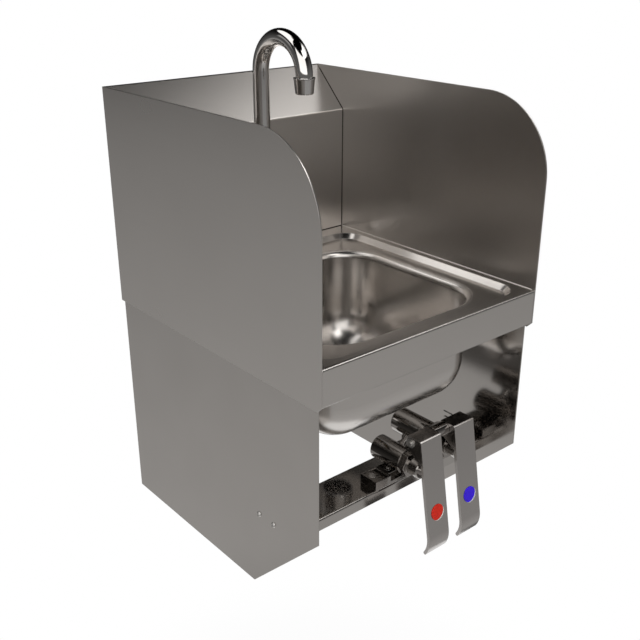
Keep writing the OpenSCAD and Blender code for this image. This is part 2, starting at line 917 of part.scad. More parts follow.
module spout_base() {
    color([0.8, 0.8, 0.8])
        translate([0, -spout_y, 0])
            difference() {
                union() {
                    translate([0, 0, deck_low_z - shank_len])
                        cylinder(r = shank_r, h = spout_seat_z - deck_low_z + shank_len + eps);
                    translate([0, 0, spout_seat_z])
                        cylinder(r = base_flange_r, h = base_flange_t);
                    translate([0, 0, flange_top_z])
                        cylinder(r = base_neck_r, h = base_neck_h);
                }
                translate([0, 0, deck_low_z - shank_len - over])
                    cylinder(r = shank_bore_r, h = flange_top_z - deck_low_z + shank_len + 2 * over);
                translate([0, 0, flange_top_z])
                    cylinder(r = spout_r + run_fit, h = base_neck_h + over);
                translate([0, 0, ring_z])
                    cylinder(r = spout_r + ring_w + 2 * run_fit, h = ring_h + 2 * run_fit);
            }
}

module spout_gasket() {
    color([0.1, 0.1, 0.1])
        translate([0, -spout_y, deck_z])
            ring(base_flange_r - gasket_in, shank_r + run_fit, spout_gasket_t);
}

module spout_washer() {
    color([0.7, 0.7, 0.7])
        translate([0, -spout_y, deck_low_z - spout_washer_t])
            ring(base_flange_r - washer_in, shank_r + run_fit, spout_washer_t);
}

module spout_locknut() {
    color([0.72, 0.6, 0.3])
        translate([0, -spout_y, deck_low_z - spout_washer_t - spout_nut_h])
            hex_ring(base_flange_r - washer_in, shank_r + run_fit, spout_nut_h);
}

module spout_o_ring() {
    color([0.08, 0.08, 0.08])
        translate([0, -spout_y, ring_z + run_fit])
            ring(spout_r + ring_w, spout_r + run_fit, ring_h);
}

module spout_nut() {
    lip_z = neck_top_z + collar_h + 2 * run_fit;
    color([0.82, 0.82, 0.82])
        translate([0, -spout_y, 0])
            difference() {
                translate([0, 0, neck_top_z - cap_low_h])
                    cylinder(r = cap_r, h = lip_z + cap_lip_h - neck_top_z + cap_low_h);
                translate([0, 0, neck_top_z - cap_low_h - over])
                    cylinder(r = base_neck_r + run_fit, h = lip_z - neck_top_z + cap_low_h + over);
                translate([0, 0, neck_top_z])
                    cylinder(r = spout_r + run_fit, h = collar_h + cap_lip_h + over);
            }
}

module spout_tube() {
    low = flange_top_z + gap;
    in_r = spout_r - spout_wall;
    color([0.8, 0.8, 0.8]) {
        translate([0, -spout_y, low])
            ring(spout_r, in_r, arc_z - low);
        translate([0, -spout_y, neck_top_z + run_fit])
            ring(collar_r, in_r, collar_h);
        translate([0, -spout_y - arc_r, arc_z])
            rotate([90, 0, 90])
                rotate_extrude(angle = 180)
                    translate([arc_r, 0])
                        difference() {
                            circle(r = spout_r);
                            circle(r = in_r);
                        }
        translate([0, -outlet_y, arc_z - outlet_len])
            ring(spout_r, in_r, outlet_len);
    }
}

module aerator_shell() {
    washer_z = aerator_h - outlet_len - aerator_washer_t;
    color([0.8, 0.8, 0.8])
        translate([0, -outlet_y, arc_z - aerator_h])
            difference() {
                union() {
                    cylinder(r1 = aerator_low_r - aerator_bevel, r2 = aerator_low_r, h = aerator_bevel);
                    translate([0, 0, aerator_bevel])
                        cylinder(
                            r1 = aerator_low_r,
                            r2 = aerator_top_r - aerator_step,
                            h = aerator_h - aerator_rim_h - aerator_bevel
                        );
                    translate([0, 0, aerator_h - aerator_rim_h])
                        cylinder(r = aerator_top_r, h = aerator_rim_h);
                }
                translate([0, 0, -over])
                    cylinder(r = aerator_in_r - insert_lip, h = insert_up + 2 * over);
                translate([0, 0, insert_up])
                    cylinder(r = aerator_in_r, h = aerator_h);
                translate([0, 0, washer_z])
                    cylinder(r = spout_r + run_fit, h = outlet_len + aerator_washer_t + over);
            }
}

module aerator_washer() {
    color([0.08, 0.08, 0.08])
        translate([0, -outlet_y, arc_z - outlet_len - aerator_washer_t + run_fit])
            ring(spout_r - run_fit, spout_r - 2 * spout_wall, aerator_washer_t - 2 * run_fit);
}

module aerator_insert() {
    h = aerator_h - outlet_len - aerator_washer_t - insert_up;
    r = aerator_in_r - run_fit;
    color([0.85, 0.85, 0.83])
        translate([0, -outlet_y, arc_z - aerator_h + insert_up])
            difference() {
                cylinder(r = r, h = h);
                for (i = [0:jets - 1])
                    rotate([0, 0, 360 * i / jets])
                        translate([r * jet_ring_share, 0, -over])
                            cylinder(r = r * jet_share, h = h + 2 * over);
                translate([0, 0, -over])
                    cylinder(r = r * jet_mid_share, h = h + 2 * over);
            }
}

// Everything inside is drawn on both halves of the valve.
module both_halves() {
    for (s = [0, 1])
        translate([2 * s * valve_x, 0, 0])
            mirror([s, 0, 0])
                children();
}

// The slanting way from the left chamber up to the outlet.
module cross_way(r) {
    translate([valve_x - cartridge_half, -seat_front - cross_r, bore_z])
        rotate([0, atan2(cartridge_half, outlet_z - bore_z), 0])
            cylinder(r = r, h = norm([cartridge_half, outlet_z - bore_z]));
}

module valve_solid() {
    x0 = valve_x - base_len / 2;
    x1 = x0 + pad_len;
    neck_half = outlet_r * neck_share;
    box(x0, x0 + base_len, -rail_front, -base_back, rail_z, rail_z + strip_t);
    both_halves() {
        box(x0, x1, -rail_front, -base_back, rail_z, rail_z + base_h);
        box(x1, x1 + pad2_len, -rail_front + pad2_back, -base_back, rail_z, rail_z + base_h - frame_h);
        fwd(valve_x - cartridge_half, barrel_back, bore_z)
            cylinder(r = barrel_r, h = barrel_len);
        cross_way(cross_r + cross_wall);
    }
    box(
        valve_x - cartridge_half, valve_x + cartridge_half,
        -barrel_front + web_back, -base_back,
        rail_z, bore_z + barrel_r * web_share
    );
    fwd(valve_x, outlet_back, outlet_z)
        cylinder(r = outlet_r, h = outlet_barrel_len);
    box(valve_x - neck_half, valve_x + neck_half, -outlet_front + neck_back, -base_back, bore_z, outlet_z);
    side_plate(valve_x - boss_half, 2 * boss_half)
        polygon([
            [-outlet_front + boss_back, outlet_z - outlet_r * boss_low_share],
            [-outlet_front + boss_back, outlet_z + outlet_r * boss_high_share],
            [-pin_y, pin_z + boss_r],
            [-pin_y - boss_r * boss_out_share, pin_z - boss_r * boss_down_share]
        ]);
    side_plate(valve_x - boss_half, 2 * boss_half)
        translate([-pin_y, pin_z])
            circle(r = boss_r);
}

// The ports, seats and passages of one half.
module valve_ways() {
    cx = valve_x - cartridge_half;
    fwd(cx, barrel_back - over, bore_z)
        cylinder(r = port_r, h = port_len + over);
    fwd(cx, barrel_back, bore_z)
        cylinder(r = chamber_r, h = seat_in);
    fwd(cx, barrel_back, bore_z)
        cylinder(r = chamber_r * seat_hole_share, h = seat_in + 2 * seat_t);
    fwd(cx, seat_front, bore_z)
        cylinder(r = chamber_r, h = barrel_front - seat_front + over);
    cross_way(cross_r);
}

module valve_body() {
    color([0.5, 0.5, 0.5])
        difference() {
            valve_solid();
            both_halves() {
                valve_ways();
                translate([valve_x - base_len / 2 + frame_w, -rail_front + frame_w, rail_z + base_h - frame_h])
                    cube([pad_len - 2 * frame_w, base_d - 2 * frame_w, 2 * frame_h]);
            }
            fwd(valve_x, outlet_back - over, outlet_z)
                cylinder(r = port_r, h = port_len + over);
            fwd(valve_x, outlet_back, outlet_z)
                cylinder(r = port_r * gallery_share, h = seat_front + gallery_past - outlet_back);
            translate([valve_x - boss_half - over, -pin_y, pin_z])
                rotate([0, 90, 0])
                    cylinder(r = pin_r + run_fit, h = 2 * (boss_half + over));
            for (x = base_screws) {
                translate([x, base_screw_y, rail_z - over])
                    cylinder(r = base_screw_r + screw_free, h = base_h + 2 * over);
                translate([x, base_screw_y, rail_z + base_h - frame_h - base_head_h])
                    cylinder(r1 = base_screw_r + screw_free, r2 = base_head_r + screw_free, h = base_head_h);
            }
        }
}

module valve_screws() {
    low_z = rail_z - sheet_t - nut_h - screw_past;
    color([0.75, 0.75, 0.75])
        for (x = base_screws)
            translate([x, base_screw_y, 0])
                difference() {
                    union() {
                        translate([0, 0, low_z])
                            cylinder(r = base_screw_r, h = head_top_z - base_head_h - low_z + eps);
                        translate([0, 0, head_top_z - base_head_h])
                            cylinder(r1 = base_screw_r, r2 = base_head_r, h = base_head_h);
                    }
                    for (a = [0, 90])
                        rotate([0, 0, a])
                            translate([-base_head_r * cross_share, -cross_w / 2, head_top_z - cross_h])
                                cube([2 * base_head_r * cross_share, cross_w, 2 * cross_h]);
                }
}

module valve_nuts() {
    color([0.7, 0.69, 0.67])
        for (x = base_screws)
            translate([x, base_screw_y, rail_z - sheet_t - nut_h])
                hex_ring(nut_r, base_screw_r + run_fit, nut_h);
}

// The cartridge: a spigot in the barrel, a hexagon against the barrel and a neck.
module bonnet(cx) {
    neck_len = bonnet_len - bonnet_nut_len - bonnet_bevel;
    color([0.78, 0.78, 0.78])
        fwd(cx, barrel_front, bore_z)
            difference() {
                union() {
                    translate([0, 0, -spigot_len])
                        cylinder(r = chamber_r - run_fit, h = spigot_len + eps);
                    cylinder(r = bonnet_nut_r, h = bonnet_nut_len, $fn = 6);
                    translate([0, 0, bonnet_nut_len - eps])
                        cylinder(r = bonnet_neck_r, h = neck_len + 2 * eps);
                    translate([0, 0, bonnet_len - bonnet_bevel])
                        cylinder(
                            r1 = bonnet_neck_r,
                            r2 = bonnet_neck_r - bonnet_bevel * bonnet_bevel_share,
                            h = bonnet_bevel
                        );
                }
                translate([0, 0, -spigot_len - over])
                    cylinder(r = stem_bore_r, h = bonnet_len + spigot_len + 2 * over);
            }
}

// The stem reaches from the seat to the back of its lever, clear of it by a gap.
module stem(cx) {
    tip_r = stem_r - stem_bevel;
    drop = lever_top_z - bore_z - tip_r;
    tip = lever_front + drop * tan(lever_lean) - lever_t / cos(lever_lean) - gap;
    head_back = seat_back - head_t - washer_t;
    shoulder = barrel_front - spigot_len;
    color([0.8, 0.8, 0.8]) {
        fwd(cx, head_back, bore_z)
            cylinder(r = head_r, h = head_t);
        fwd(cx, head_back, bore_z)
            cylinder(r = stem_thin_r, h = shoulder - head_back + eps);
        fwd(cx, shoulder, bore_z)
            cylinder(r = stem_r, h = tip - shoulder - stem_bevel + eps);
        fwd(cx, tip - stem_bevel, bore_z)
            cylinder(r1 = stem_r, r2 = tip_r, h = stem_bevel);
    }
}

module seat_washer(cx) {
    color([0.1, 0.1, 0.1])
        fwd(cx, seat_back - washer_t, bore_z)
            ring(head_r, stem_thin_r + run_fit, washer_t);
}

module hot_bonnet() {
    bonnet(valve_x - cartridge_half);
}

module cold_bonnet() {
    bonnet(valve_x + cartridge_half);
}

module hot_stem() {
    stem(valve_x - cartridge_half);
}

module cold_stem() {
    stem(valve_x + cartridge_half);
}

module hot_seat_washer() {
    seat_washer(valve_x - cartridge_half);
}

module cold_seat_washer() {
    seat_washer(valve_x + cartridge_half);
}

module hinge_pin() {
    color([0.7, 0.7, 0.7])
        translate([valve_x - pin_half, -pin_y, pin_z])
            rotate([0, 90, 0])
                cylinder(r = pin_r, h = 2 * pin_half);
}

module pin_clips() {
    color([0.65, 0.65, 0.65])
        both_halves()
            translate([valve_x - lever_half - lever_w / 2 - gap - clip_t, -pin_y, pin_z])
                rotate([0, 90, 0])
                    ring(pin_r + clip_w, pin_r + run_fit / 2, clip_t);
}

// The lever plate seen from the side, its face from the top edge down the lean,
// with the curl at the lower end. Local origin at the top of the face.
module lever_plate_side() {
    mid_r = curl_r - lever_t / 2;
    rotate(-lever_lean) {
        polygon([[0, -lever_len], [lever_t, -lever_len], [lever_t, 0], [top_bevel, 0], [0, -top_bevel]]);
        translate([curl_r, -lever_len])
            intersection() {
                difference() {
                    circle(r = curl_r);
                    circle(r = curl_r - lever_t);
                }
                polygon([
                    [0, 0],
                    [-2 * curl_r, 0],
                    [-2 * curl_r, -2 * curl_r * tan(curl_deg)]
                ]);
            }
        translate([curl_r - mid_r * cos(curl_deg), -lever_len - mid_r * sin(curl_deg)])
            circle(r = lever_t / 2);
    }
}

module cheek_side() {
    tip_y = -lever_front - (lever_top + cheek_drop) * tan(lever_lean) + lever_t / 2;
    polygon([
        [-lever_front + top_set_in, lever_top_z - eps],
        [-pin_y + lever_tail, lever_top_z - eps],
        [-pin_y + lever_top * cheek_share, pin_z],
        [-pin_y + cheek_back, pin_z - cheek_back_drop],
        [tip_y, pin_z - cheek_drop]
    ]);
    translate([-pin_y, pin_z])
        circle(r = lever_top);
}

module lever(cx) {
    x0 = cx - lever_w / 2;
    difference() {
        union() {
            side_plate(x0, lever_w)
                translate([-lever_front, lever_top_z])
                    lever_plate_side();
            box(
                x0, x0 + lever_w,
                -lever_front + top_set_in, -pin_y + lever_tail,
                lever_top_z - top_t, lever_top_z
            );
            for (x = [x0, x0 + lever_w - cheek_t])
                side_plate(x, cheek_t)
                    cheek_side();
        }
        translate([x0 - over, -pin_y, pin_z])
            rotate([0, 90, 0])
                cylinder(r = pin_r + run_fit, h = lever_w + 2 * over);
    }
}

module hot_lever() {
    color([0.46, 0.44, 0.43])
        lever(valve_x - lever_half);
}

module cold_lever() {
    color([0.46, 0.44, 0.43])
        lever(valve_x + lever_half);
}

module disc(cx) {
    flat = disc_t - disc_bevel;
    translate([cx, -lever_front, lever_top_z])
        rotate([-lever_lean, 0, 0])
            translate([0, 0, -disc_down])
                rotate([90, 0, 0]) {
                    cylinder(r = disc_r, h = flat + eps);
                    translate([0, 0, flat])
                        cylinder(r1 = disc_r, r2 = disc_r - disc_bevel, h = disc_bevel);
                }
}

module red_index() {
    color([0.69, 0.17, 0.12])
        disc(valve_x - lever_half);
}

module blue_index() {
    color([0.22, 0.13, 0.72])
        disc(valve_x + lever_half);
}

// A return spring: close-wound coils round the pin, a straight leg that reaches
// back under the lever's top and a leg that comes down on the cartridge's neck.
module spring(cx, foot_at) {
    coil_in = pin_r + gap;
    coil_out = coil_in + 2 * wire_r;
    wrap_r = coil_out - wire_r;
    rest_z = bore_z + bonnet_neck_r + wire_r + gap;
    color([0.7, 0.7, 0.7]) {
        translate([cx - coil_half, -pin_y, pin_z])
            rotate([0, 90, 0])
                ring(coil_out, coil_in, 2 * coil_half);
        translate([cx + coil_half - 2 * wire_r, -pin_y, pin_z + wrap_r])
            rotate([-90, 0, 0])
                cylinder(r = wire_r, h = leg_past);
        translate([foot_at, -pin_y - wrap_r, rest_z])
            cylinder(r = wire_r, h = pin_z - rest_z);
    }
}

module hot_spring() {
    spring(valve_x - lever_half, valve_x - lever_half - foot_x);
}

module cold_spring() {
    spring(valve_x + lever_half, valve_x + lever_half + foot_x);
}

deck();
bowl();
backsplash();
left_side_splash();
right_side_splash();
left_lower_panel();
right_lower_panel();
valve_rail();
rail_screws();
rail_nuts();
wall_hanger();
drain_body();
strainer_grid();
strainer_screw();
drain_gasket();
drain_washer();
drain_locknut();
spout_base();
spout_gasket();
spout_washer();
spout_locknut();
spout_o_ring();
spout_nut();
spout_tube();
aerator_shell();
aerator_washer();
aerator_insert();
valve_body();
valve_screws();
valve_nuts();
hot_bonnet();
cold_bonnet();
hot_stem();
cold_stem();
hot_seat_washer();
cold_seat_washer();
hinge_pin();
pin_clips();
hot_spring();
cold_spring();
hot_lever();
cold_lever();
red_index();
blue_index();
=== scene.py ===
"""The wall-hung hand wash sink: finishes, small wound and threaded parts, studio and camera."""

import math

import bmesh
import bpy
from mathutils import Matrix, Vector

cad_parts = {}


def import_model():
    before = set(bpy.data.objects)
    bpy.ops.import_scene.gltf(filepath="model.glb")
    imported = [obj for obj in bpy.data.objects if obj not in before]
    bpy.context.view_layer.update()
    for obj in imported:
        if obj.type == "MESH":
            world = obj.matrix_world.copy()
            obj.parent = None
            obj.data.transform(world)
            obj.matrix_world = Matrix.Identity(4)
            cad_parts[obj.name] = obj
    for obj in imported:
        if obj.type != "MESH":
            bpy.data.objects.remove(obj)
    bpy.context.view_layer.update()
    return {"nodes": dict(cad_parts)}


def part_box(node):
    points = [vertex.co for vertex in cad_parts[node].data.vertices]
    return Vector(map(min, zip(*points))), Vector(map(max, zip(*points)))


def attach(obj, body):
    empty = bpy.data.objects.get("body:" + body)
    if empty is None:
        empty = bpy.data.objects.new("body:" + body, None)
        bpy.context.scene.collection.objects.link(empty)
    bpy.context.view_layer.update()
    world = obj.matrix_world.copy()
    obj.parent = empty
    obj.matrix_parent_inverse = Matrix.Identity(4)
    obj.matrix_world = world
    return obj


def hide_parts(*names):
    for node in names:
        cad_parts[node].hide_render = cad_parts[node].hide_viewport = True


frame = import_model()
nodes = frame["nodes"]

MM = 0.001
RIGHT = Vector((1, 0, 0))
OUTWARD = Vector((0, -1, 0))
UP = Vector((0, 0, 1))

# Return springs, in the space of the CAD sleeve and legs: their place on the hinge pin,
# and the side on which the foot of each stands.
SPRING_AT = {"hot_spring": (0.0311, -0.322, -0.328), "cold_spring": (0.0851, -0.322, -0.328)}
FOOT_SIDE = {"hot_spring": -1, "cold_spring": 1}
FOOT_AT = 5 * MM
COIL_HALF = 9 * MM
COIL_RADIUS = 4.1 * MM
COIL_TURNS = 11
WIRE_RADIUS = 0.8 * MM
ROUND_SIDES = 8
STEPS_A_TURN = 24

# Outside threads: the node, the radius, the lower and upper end in metres, and the finish.
THREADS = {
    "drain_thread": ("drain_body", 20.0 * MM, -0.3141, -0.3062, "turned_steel"),
    "shank_thread": ("spout_base", 9.5 * MM, -0.2118, -0.1796, "bright_plating"),
}
THREAD_PITCH = 1.6 * MM
THREAD_RIDGE = 0.35 * MM
RIDGE_SIDES = 6

# A painted highlight on a disc's rim: a white crescent put where light glints. It tapers to its
# thin ends and lies just proud.
LEVER_LEAN = math.radians(10)
GLEAM_FROM = math.radians(-125)
GLEAM_TO = math.radians(35)
GLEAM_WIDTH = 1.7 * MM
GLEAM_THIN = 0.02 * MM
GLEAM_PROUD = 0.03 * MM
GLEAM_STEPS = 24

# Painted highlights along the front edges of the side splashes, and the welded seams between the
# sheets, whose dark strips are painted shade.
SPLASH_CORNER = 84 * MM
EDGE_HIGHLIGHT_RADIUS = 0.45 * MM
EDGE_STEPS = 24
EDGE_RUN = 40 * MM
SEAM = 0.9 * MM
DECK_FRONT = -363.0 * MM
RETURN_EDGE = 5 * MM

# Finishes. A grain stretches the noise, in waves a metre along each axis.
GRAIN_X = (6, 300, 300)
GRAIN_Y = (300, 6, 300)
GRAIN_Z = (700, 700, 30)
FOLD_EDGE = 1.8 * MM
SHEET_EDGE = 0.6 * MM
BEVEL_SAMPLES = 6
SCRATCH_SHARE = 0.12
POLISH_SPREAD = 0.04
SMEAR_SPREAD = 0.05
TURNING_SPREAD = 0.12
SPECK_SPREAD = 0.12
ENAMEL_ROUGH = 0.3
ENAMEL_SPREAD = 0.05
ENAMEL_GLOSS = 0.25

# Camera, solved from the straight edges of the sheet metal.
CAMERA_PLACE = Vector((-0.6064, -0.9037, 0.1802))
CAMERA_LOOK = Vector((0.5931, 0.7029, -0.3926))
LENS = 50
SENSOR = 36

# Studio: everything from here on is stage, not part of the sink.
WHITE = (1, 1, 1, 1)
BACKDROP_GREY = 214
FLOOR_PLACE = (0, -0.2, -0.9)
FLOOR_RADIUS = 0.45
FLOOR_GREY = 232
FLOOR_SHADOW = 0.07
FADE_FROM = 0.3 * FLOOR_RADIUS
FADE_TO = 0.95 * FLOOR_RADIUS

# The surround's directions are in degrees round the sink from +X, and heights on a unit
# sphere. Its lower half is grey and fades upwards, its upper half is darker.
SURROUND_PLACE = (0, -0.2, -0.15)
SURROUND_RADIUS = 2.6
SURROUND_TINT = (1.0, 0.985, 0.97, 1)
LOW_GREY = 0.5
LOW_FADE = (-1.0, 0.8)
HIGH_GREY = 0.15
HIGH_FADE = (-0.1, 0.75)
HORIZON = (-0.1, 0.0)
NOT_ZERO = 0.0001

# Soft boxes: centre, half the width, lower and upper edge, brightness.
SOFT_BOXES = [
    (-134, 46, 0.10, 0.72, 1.4),
    (-60, 40, 0.67, 0.87, 2.4),
    (-14, 16, 0.56, 0.82, 0.87),
    (130, 42, 0.68, 0.98, 1.5),
    (141, 12, 0.28, 0.50, 0.28),
]
BOX_SIDE_SOFT = 3
BOX_EDGE_SOFT = 0.02

# Flags that dim a part of the surround: centre, half the width, softness, and by how much.
HIGH_FLAGS = [(45, 50, 14, 0.62), (112, 40, 14, 0.3)]
LOW_FLAG = (40, 52, 12, 0.7)
UNDER_FLAG = (92, 50, 14, 0.75)
UNDER_FADE = (-0.85, -0.65)

# Lamps: place, the point they face, width and height, power in watts.
LAMPS = {
    "overhead": ((0.2, -0.6, 2.0), (0, -0.2, 0), (1.2, 1.2), 26),
    "left_key": ((-1.8, -1.3, 0.9), (0, -0.2, -0.1), (0.5, 1.4), 10),
}


def srgb(r, g, b):
    """A colour read on screen, 0 to 255, as the linear colour that a shader takes."""
    def one(v):
        v = v / 255
        return v / 12.92 if v <= 0.04045 else ((v + 0.055) / 1.055) ** 2.4
    return (one(r), one(g), one(b), 1)


class Wire:
    """A value inside a node tree, on which plain arithmetic adds Math nodes."""

    def __init__(self, look, socket):
        self.look = look
        self.socket = socket

    def math(self, operation, *values):
        wires = [v.socket if isinstance(v, Wire) else v for v in values]
        return self.look.node("ShaderNodeMath", {"operation": operation}, dict(enumerate(wires)))

    def __add__(self, other):
        return self.math("ADD", self, other)

    def __sub__(self, other):
        return self.math("SUBTRACT", self, other)

    def __rsub__(self, other):
        return self.math("SUBTRACT", other, self)

    def __mul__(self, other):
        return self.math("MULTIPLY", self, other)

    def __truediv__(self, other):
        return self.math("DIVIDE", self, other)

    def larger(self, other):
        return self.math("MAXIMUM", self, other)

    def root(self):
        return self.math("SQRT", self)

    def ramp(self, low, high):
        """0 below low, 1 above high, smooth between."""
        return self.look.node(
            "ShaderNodeMapRange",
            {"interpolation_type": "SMOOTHSTEP"},
            {"Value": self.socket, "From Min": low, "From Max": high},
        )

    def window(self, low, high, soft):
        """1 between low and high, 0 outside, with soft edges."""
        return self.ramp(low - soft, low + soft) * (1 - self.ramp(high - soft, high + soft))


class Look:
    """A material, or the world, built from nodes."""

    def __init__(self, owner):
        self.owner = owner
        owner.use_nodes = True
        self.tree = owner.node_tree
        self.tree.nodes.clear()

    def node(self, kind, settings=None, sockets=None, out=0):
        """A node with its settings and inputs, as the wire from one of its outputs."""
        made = self.tree.nodes.new(kind)
        for key, value in (settings or {}).items():
            setattr(made, key, value)
        for key, value in (sockets or {}).items():
            value = value.socket if isinstance(value, Wire) else value
            if isinstance(value, bpy.types.NodeSocket):
                self.tree.links.new(value, made.inputs[key])
            else:
                made.inputs[key].default_value = value
        return Wire(self, made.outputs[out]) if made.outputs else None

    def point(self):
        """The point on the object, in metres."""
        return self.node("ShaderNodeTexCoord", out="Object")

    def vector(self, operation, *vectors, out=0):
        settings = {"operation": operation}
        return self.node("ShaderNodeVectorMath", settings, dict(enumerate(vectors)), out)

    def noise(self, scale, detail, rough=0.5, stretch=(1, 1, 1)):
        """Noise in waves a metre, stretched along an axis for a grain."""
        place = self.vector("MULTIPLY", self.point(), stretch)
        sockets = {"Vector": place, "Scale": scale, "Detail": detail, "Roughness": rough}
        return self.node("ShaderNodeTexNoise", sockets=sockets)

    def mix_colour(self, factor, a, b):
        return self.node("ShaderNodeMix", {"data_type": "RGBA"}, {0: factor, 6: a, 7: b}, out=2)

    def soft_edge(self, radius):
        return self.node("ShaderNodeBevel", {"samples": BEVEL_SAMPLES}, {"Radius": radius})

    def bump(self, height, strength, distance, edge):
        """Fine relief on a surface whose edges are rounded."""
        sockets = {
            "Height": height, "Strength": strength, "Distance": distance,
            "Normal": self.soft_edge(edge),
        }
        return self.node("ShaderNodeBump", sockets=sockets)

    def surface(self, **sockets):
        """The finished surface, as its material."""
        names = {
            "colour": "Base Color", "metal": "Metallic", "rough": "Roughness", "normal": "Normal",
            "gloss": "Specular IOR Level",
        }
        sockets = {names[key]: value for key, value in sockets.items()}
        self.output("Surface", self.node("ShaderNodeBsdfPrincipled", sockets=sockets))
        return self.owner

    def output(self, socket, shader, kind="ShaderNodeOutputMaterial"):
        self.node(kind, sockets={socket: shader})


def material(name):
    return Look(bpy.data.materials.new(name))


# Finishes

def satin_sheet(name, light, dark, stretch, rough, spread=0.03, edge=SHEET_EDGE):
    """Satin sheet: fine scratches along one direction over slow, faint patches."""
    look = material(name)
    scratch = look.noise(scale=1.0, detail=1.0, stretch=stretch)
    patch = look.noise(scale=9.0, detail=2.0)
    tone = scratch * SCRATCH_SHARE + patch * (1 - SCRATCH_SHARE)
    return look.surface(
        colour=look.mix_colour(tone, dark, light),
        metal=1.0,
        rough=patch * spread + (rough - spread / 2),
        normal=look.soft_edge(edge),
    )


def polished_sheet(name, light, dark, stretch, rough):
    """Bright rolled sheet, with fine scratches along one direction."""
    look = material(name)
    scratch = look.noise(scale=1.0, detail=2.0, stretch=stretch)
    patch = look.noise(scale=14.0, detail=2.0)
    return look.surface(
        colour=look.mix_colour(patch, dark, light),
        metal=1.0,
        rough=scratch * POLISH_SPREAD + (rough - POLISH_SPREAD / 2),
        normal=look.bump(scratch, strength=0.02, distance=0.1 * MM, edge=SHEET_EDGE),
    )


def plated(name, light, dark, rough, edge):
    """Bright plating: almost a mirror, with faint polishing waves."""
    look = material(name)
    wave = look.noise(scale=55.0, detail=2.0)
    smear = look.noise(scale=160.0, detail=3.0)
    return look.surface(
        colour=look.mix_colour(wave, dark, light),
        metal=1.0,
        rough=smear * SMEAR_SPREAD + rough,
        normal=look.bump(wave, strength=0.04, distance=0.6 * MM, edge=edge),
    )


def machined(name, light, dark, rough, edge):
    """Turned, drawn or dressed metal with fine tool marks."""
    look = material(name)
    mark = look.noise(scale=420.0, detail=3.0)
    return look.surface(
        colour=look.mix_colour(mark, dark, light),
        metal=1.0,
        rough=mark * TURNING_SPREAD + rough,
        normal=look.bump(mark, strength=0.08, distance=0.1 * MM, edge=edge),
    )


def dull(name, light, dark, rough, scale, edge, lumps=0.2):
    """Rubber, fibre and moulded plastic."""
    look = material(name)
    speck = look.noise(scale=scale, detail=4.0, rough=0.6)
    return look.surface(
        colour=look.mix_colour(speck, dark, light),
        rough=speck * SPECK_SPREAD + rough,
        normal=look.bump(speck, strength=lumps, distance=0.2 * MM, edge=edge),
    )


def enamel(name, light, dark):
    """The glossy colour discs."""
    look = material(name)
    speck = look.noise(scale=300.0, detail=2.0)
    return look.surface(
        colour=look.mix_colour(speck, dark, light),
        rough=speck * ENAMEL_SPREAD + ENAMEL_ROUGH,
        gloss=ENAMEL_GLOSS,
        normal=look.bump(speck, strength=0.05, distance=0.1 * MM, edge=0.4 * MM),
    )


# Each finish: how it is made, its light and dark colour on screen, and then what the maker
# takes, such as the grain, the roughness and the rounding of the edges.
SHEET_TONES = ((210, 206, 202), (202, 198, 194))
FINISH_LIST = {
    "side_sheet": (satin_sheet, *SHEET_TONES, GRAIN_Y, 0.28),
    "back_sheet": (satin_sheet, *SHEET_TONES, GRAIN_X, 0.28, 0.03, FOLD_EDGE),
    "deck_sheet": (satin_sheet, *SHEET_TONES, GRAIN_X, 0.2, 0.03, FOLD_EDGE),
    "bowl_sheet": (satin_sheet, (212, 208, 204), (204, 200, 196), GRAIN_X, 0.25),
    "panel_sheet": (polished_sheet, (199, 195, 191), (192, 188, 184), GRAIN_Y, 0.12),
    "rail_sheet": (polished_sheet, (190, 186, 182), (182, 178, 174), GRAIN_X, 0.12),
    # Dark: painted shade for the shaded gaps of the seams between sheets.
    "seam_shade_paint": (machined, (74, 70, 67), (58, 55, 52), 0.45, 0.2 * MM),
    # Near-white: a painted highlight for the beads on the side splashes' edges.
    "edge_highlight_paint": (machined, (250, 248, 245), (240, 238, 235), 0.3, 0.2 * MM),
    "hanger_sheet": (satin_sheet, (190, 188, 184), (176, 174, 170), GRAIN_X, 0.4, 0.05),
    "lever_plate": (satin_sheet, (190, 186, 183), (180, 176, 173), GRAIN_Z, 0.2),
    "bright_plating": (plated, (222, 220, 218), (214, 212, 210), 0.04, 0.5 * MM),
    "valve_plating": (plated, (166, 162, 158), (150, 146, 142), 0.06, 0.9 * MM),
    "turned_steel": (machined, (214, 212, 209), (196, 194, 191), 0.3, 0.2 * MM),
    "spring_wire": (machined, (206, 204, 200), (180, 178, 174), 0.18, 0.1 * MM),
    "nut_brass": (machined, (214, 184, 112), (188, 156, 86), 0.26, 0.4 * MM),
    "black_rubber": (dull, (40, 40, 40), (26, 26, 26), 0.62, 500.0, 0.4 * MM),
    "pressed_fibre": (dull, (176, 158, 128), (146, 128, 98), 0.8, 300.0, 0.3 * MM),
    # This white finish also serves the painted highlights on the discs' rims.
    "moulded_white_and_painted_highlight": (dull, (226, 226, 222), (214, 214, 208), 0.45, 260.0, 0.3 * MM, 0.05),
    "red_enamel": (enamel, (222, 43, 22), (204, 36, 18)),
    "blue_enamel": (enamel, (62, 26, 237), (54, 22, 216)),
}
FINISHES = {
    name: make(name, srgb(*light), srgb(*dark), *measures)
    for name, (make, light, dark, *measures) in FINISH_LIST.items()
}

